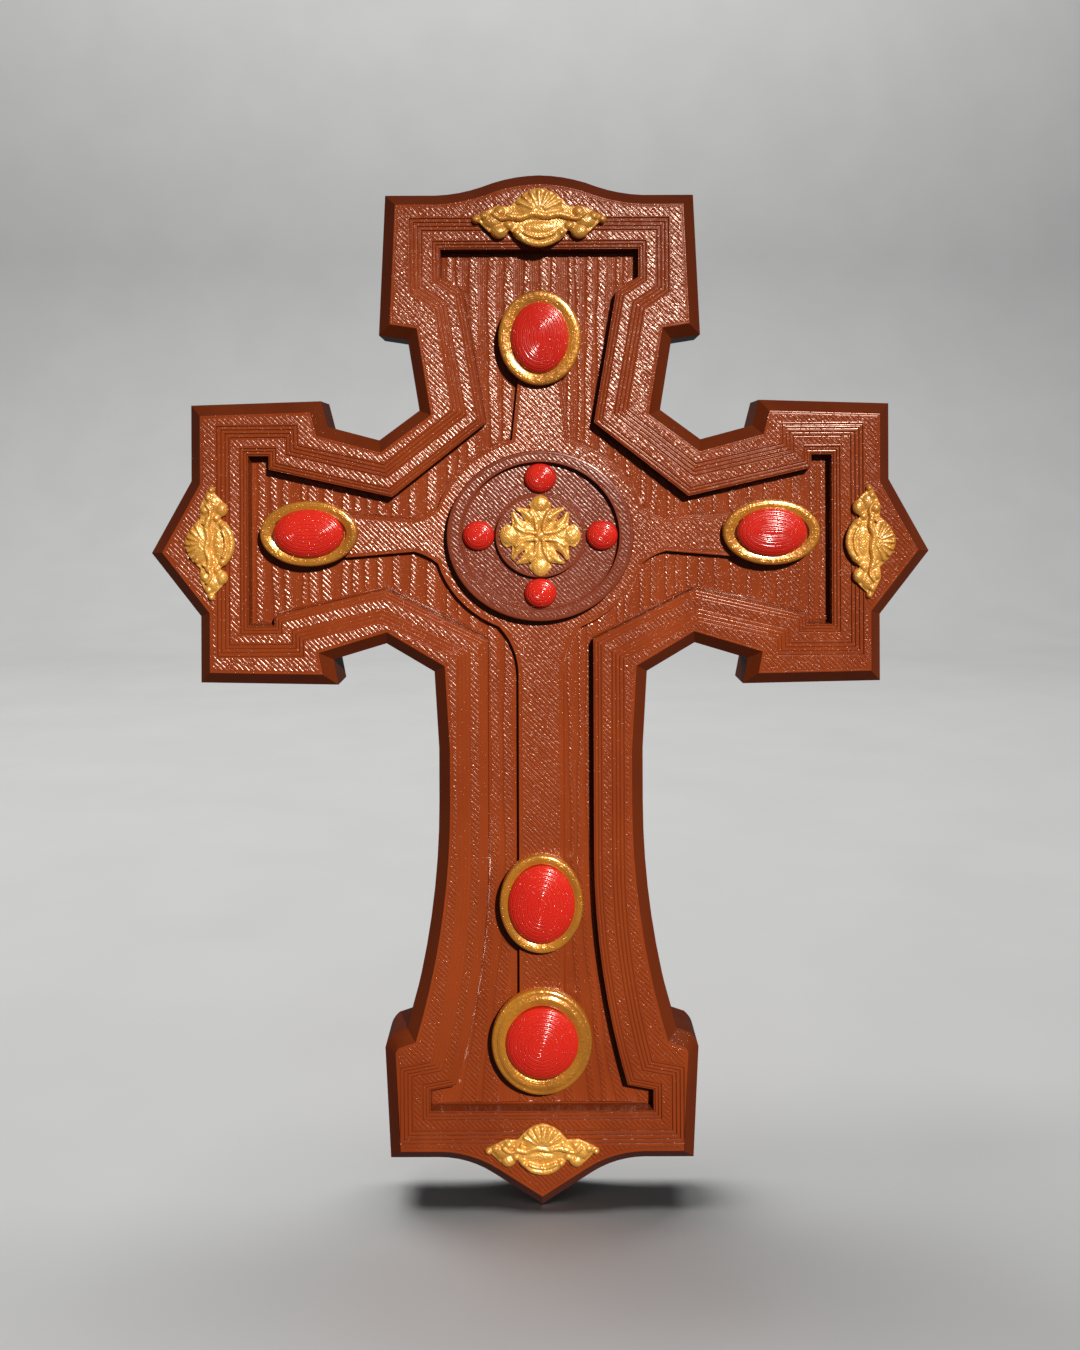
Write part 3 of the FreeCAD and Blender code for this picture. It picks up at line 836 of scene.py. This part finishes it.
def add_gems(material):
    """Stones on straight girdles, and beads that curve in from their backs."""
    for name in OVALS:
        node = f"gem_{name}"
        half, rise = half_and_rise(node)
        profile = [(0.0, 0.0), (0.0, rise / 3)] + dome(half, rise / 3, rise, 40)
        add_oval(f"stone_{name}", node, material, profile)
    for name in ("top", "bottom", "left", "right"):
        node = f"bead_{name}"
        half, rise = half_and_rise(node)
        profile = [(0.0, 0.0)] + dome(half, 0.0, rise, 24)
        add_oval(f"dot_{name}", node, material, profile)


# A bezel's section: how far in, as a share of its width, and how far forward
ROUND_BEZEL = [
    (0.0, 0.0), (0.0, 0.66), (0.02, 0.78), (0.06, 0.87), (0.13, 0.94), (0.22, 0.98),
    (0.36, 1.0), (0.52, 0.99), (0.70, 0.95), (0.87, 0.88), (1.0, 0.82), (1.0, 0.36),
]
STEPPED_BEZEL = [
    (0.0, 0.0), (0.0, 0.60), (0.02, 0.70), (0.07, 0.79), (0.16, 0.85), (0.26, 0.85),
    (0.33, 0.84), (0.38, 0.90), (0.45, 0.97), (0.56, 1.0), (0.70, 0.99), (0.86, 0.92),
    (1.0, 0.84), (1.0, 0.36),
]


def add_bezels(material):
    for name in OVALS:
        node = f"bezel_{name}"
        low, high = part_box(node)
        stone_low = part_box(f"gem_{name}")[0]
        width = (stone_low.x - low.x + stone_low.z - low.z) / 2
        rise = high.y - low.y
        section = STEPPED_BEZEL if name == "foot" else ROUND_BEZEL
        profile = [(share * width, height * rise) for share, height in section]
        add_oval(f"frame_{name}", node, material, profile, 0.03 * MM)


# Gilt ornaments are built up from overlapping lumps and coils, then remeshed as one.
# Their sizes are in millimetres of the full-size plate, about its middle: x, z, rise.

SCULPT_CELL = 0.14 * MM
PLATE_RISE = 0.55
PLATE_BACK = 0.6
DEEP = Vector((0, 1, 0))
TUBE_SIDES = 16
LINE_STEPS = 10

# A coil's rounded end: how far it reaches and how thick its tip is, in coil radii
CAP_REACH = 0.8
CAP_SIZE = 0.6


def tube(bm, rings):
    """Close a row of rings, each a list of points, into one solid."""
    loops = [[bm.verts.new(point) for point in ring] for ring in rings]
    for first, second in zip(loops, loops[1:]):
        for side in range(len(first)):
            after = (side + 1) % len(first)
            bm.faces.new((first[side], first[after], second[after], second[side]))
    bm.faces.new(loops[0][::-1])
    bm.faces.new(loops[-1])


def circle(middle, right, up, radius):
    turns = [2 * math.pi * side / TUBE_SIDES for side in range(TUBE_SIDES)]
    return [middle + radius * (math.cos(turn) * right + math.sin(turn) * up) for turn in turns]


def lump(bm, x, z, half_x, half_z, rise, turn=0.0):
    """A flattened ball."""
    spin = Matrix.Rotation(math.radians(turn), 3, "Y")
    right = spin @ Vector((half_x, 0, 0))
    up = spin @ Vector((0, 0, half_z))
    rings = []
    for step in range(1, 16):
        tilt = math.pi * step / 16
        middle = Vector((x, -rise * math.cos(tilt), z))
        rings.append(circle(middle, right, up, math.sin(tilt)))
    tube(bm, rings)


def smooth_line(points):
    """Points of a smooth line through the given points."""
    places = [Vector((x, 0, z)) for x, z in points]
    line = []
    for index in range(len(places) - 1):
        before = places[max(index - 1, 0)]
        start = places[index]
        end = places[index + 1]
        after = places[min(index + 2, len(places) - 1)]
        for step in range(LINE_STEPS):
            t = step / LINE_STEPS
            bend = 2 * start + (end - before) * t
            bend += (2 * before - 5 * start + 4 * end - after) * t * t
            bend += (3 * start - before - 3 * end + after) * t * t * t
            line.append(bend / 2)
    return line + [places[-1]]


def coil(bm, points, thick, thin, rise, drop=None):
    """A round bar along a smooth line, from one thickness and height to another."""
    line = smooth_line(points)
    last = len(line) - 1
    fall = 0 if drop is None else rise - drop
    rings = []
    for index, spot in enumerate(line):
        along = (line[min(index + 1, last)] - line[max(index - 1, 0)]).normalized()
        right = Vector((along.z, 0, -along.x))
        share = index / last
        radius = thick + (thin - thick) * share
        middle = spot - Vector((0, rise - fall * share - radius, 0))
        reach = along * radius * CAP_REACH
        if index == 0:
            rings.append(circle(middle - reach, right, DEEP, radius * CAP_SIZE))
        rings.append(circle(middle, right, DEEP, radius))
        if index == last:
            rings.append(circle(middle + reach, right, DEEP, radius * CAP_SIZE))
    tube(bm, rings)


def cartouche_relief(bm):
    """A ribbed shell over a spoon-shaped hollow, between scrolls that end in knobs."""
    lump(bm, 0.0, 2.4, 5.7, 3.3, 1.5)
    for rib in range(-3, 4):
        turn = math.radians(rib * 20)
        root = (1.5 * math.sin(turn), 0.9 + 1.5 * math.cos(turn))
        tip = (5.3 * math.sin(turn), 0.9 + 4.8 * math.cos(turn))
        coil(bm, [root, tip], 0.35, 0.62, 1.62, 1.4)
    ridge = [(-6.8, 0.2), (-4.2, -0.2), (-1.5, 0.7), (1.6, 0.2), (4.4, 0.6), (6.8, 0.0)]
    coil(bm, ridge, 0.75, 0.75, 1.7)
    lump(bm, 0.0, -2.2, 4.6, 1.6, 0.95)
    lip = [(-3.4, -3.6), (-1.8, -4.3), (0.0, -4.5), (1.8, -4.3), (3.4, -3.6)]
    coil(bm, lip, 0.45, 0.45, 1.6)
    base = [(-4.9, -3.4), (-2.9, -5.2), (0.0, -5.9), (2.9, -5.2), (4.9, -3.4)]
    coil(bm, base, 0.85, 0.85, 1.25)
    for side in (-1, 1):
        curl = [(side * 5.4, 1.5), (side * 6.6, 0.0), (side * 8.6, -0.4), (side * 10.2, 0.6)]
        coil(bm, curl, 0.4, 0.5, 1.55)
        lump(bm, side * 4.9, -3.5, 1.1, 1.1, 1.5)
        lump(bm, side * 8.8, 1.2, 1.4, 1.3, 1.4)
        lump(bm, side * 10.5, -0.8, 2.4, 1.9, 1.2)
        lump(bm, side * 9.0, -3.2, 2.0, 1.6, 1.35)
        lump(bm, side * 6.8, -1.9, 1.3, 1.1, 1.3)
        lump(bm, side * 12.2, 0.2, 1.3, 1.1, 1.3)
        lump(bm, side * 14.1, -0.5, 1.0, 0.9, 1.25)


def rosette_relief(bm):
    """Four broad arms with a trough along each, a rolled lobe and two pointed leaves."""
    for arm in range(4):
        spin = Matrix.Rotation(math.radians(90 * arm), 2)

        def at(x, z):
            return tuple(spin @ Vector((x, z)))

        lump(bm, *at(0.0, 4.0), 2.9, 2.9, 1.05)
        lump(bm, *at(0.0, 7.0), 2.2, 2.2, 1.25)
        for side in (-1, 1):
            trough = [at(side * 0.7, 1.0), at(side * 1.0, 3.4), at(side * 2.1, 5.4)]
            leaf = [at(side * 2.0, 4.0), at(side * 3.5, 5.2), at(side * 5.2, 6.0)]
            coil(bm, trough, 0.45, 0.6, 1.45, 1.3)
            coil(bm, leaf, 1.0, 0.35, 1.35, 0.8)
    lump(bm, 0.0, 0.0, 1.3, 1.3, 1.5)


def plate(bm, node, middle, turn, scale):
    """The CAD plate, made thin, in the ornament's own upright millimetres."""
    source = cad_mesh(node)
    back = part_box(node)[1].y
    turned = Matrix.Rotation(math.radians(-turn), 4, "Y")
    known = {}
    for vert in source.verts:
        spot = turned @ (vert.co - middle) / (MM * scale)
        spot.y = -PLATE_RISE if vert.co.y < back - CLOSE else PLATE_BACK
        known[vert] = bm.verts.new(spot)
    for face in source.faces:
        bm.faces.new([known[vert] for vert in face.verts])
    source.free()


def one_skin(name, solids, cell):
    """Overlapping solids, remeshed in cells of a size and smoothed as one skin."""
    mesh = bpy.data.meshes.new(name)
    solids.to_mesh(mesh)
    solids.free()
    rough = bpy.data.objects.new(name, mesh)
    bpy.context.scene.collection.objects.link(rough)
    remesh = rough.modifiers.new("remesh", "REMESH")
    remesh.mode = "VOXEL"
    remesh.voxel_size = cell
    smooth = rough.modifiers.new("smooth", "SMOOTH")
    smooth.iterations = 3
    smooth.factor = 0.4
    graph = bpy.context.evaluated_depsgraph_get()
    fine = bpy.data.meshes.new_from_object(rough.evaluated_get(graph))
    bpy.data.objects.remove(rough)
    skin = bmesh.new()
    skin.from_mesh(fine)
    return skin


def cut_back(bm):
    """Cut off what lies behind the plane Y = 0 and close the cut."""
    geometry = bm.verts[:] + bm.edges[:] + bm.faces[:]
    made = bmesh.ops.bisect_plane(
        bm, geom=geometry, plane_co=(0, 0, 0), plane_no=DEEP, clear_outer=True
    )
    rim = [item for item in made["geom_cut"] if isinstance(item, bmesh.types.BMEdge)]
    bmesh.ops.holes_fill(bm, edges=rim)


def add_gilt(name, node, relief, middle, turn, scale, material):
    """Build a relief on its plate and fit it to the node's place, turn and depth."""
    low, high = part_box(node)
    solids = bmesh.new()
    plate(solids, node, middle, turn, scale)
    relief(solids)
    bm = one_skin(name, solids, SCULPT_CELL / MM / scale)
    cut_back(bm)
    front = min(vert.co.y for vert in bm.verts)
    stretch = (high.y - low.y) / (-front * scale * MM)
    shape = Matrix.Translation((middle.x, high.y, middle.z))
    shape = shape @ Matrix.Rotation(math.radians(turn), 4, "Y")
    shape = shape @ Matrix.Diagonal((scale * MM, scale * MM * stretch, scale * MM, 1))
    bmesh.ops.transform(bm, matrix=shape, verts=bm.verts)
    add_piece(name, bm, node, material, 60)


def add_gilding(material):
    low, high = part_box("rosette")
    add_gilt("gilt_rosette", "rosette", rosette_relief, (low + high) / 2, 0, 1.0, material)
    full_low, full_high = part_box("cartouche_top")
    full = full_high.x - full_low.x
    for name, turn in (("top", 0), ("left", -90), ("right", 90), ("foot", 0)):
        node = f"cartouche_{name}"
        low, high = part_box(node)
        wide = max(high.x - low.x, high.z - low.z)
        scale = wide / full
        middle = (low + high) / 2
        add_gilt(f"gilt_{name}", node, cartouche_relief, middle, turn, scale, material)


add_camera()
add_lights(add_floor())
brown = brown_plastic()
red = red_plastic()
add_body(brown)
add_medallion(medallion_plastic())
add_gems(red)
add_bezels(bezel_plastic())
add_gilding(gilt_plastic())
bpy.context.scene.view_settings.view_transform = "Standard"
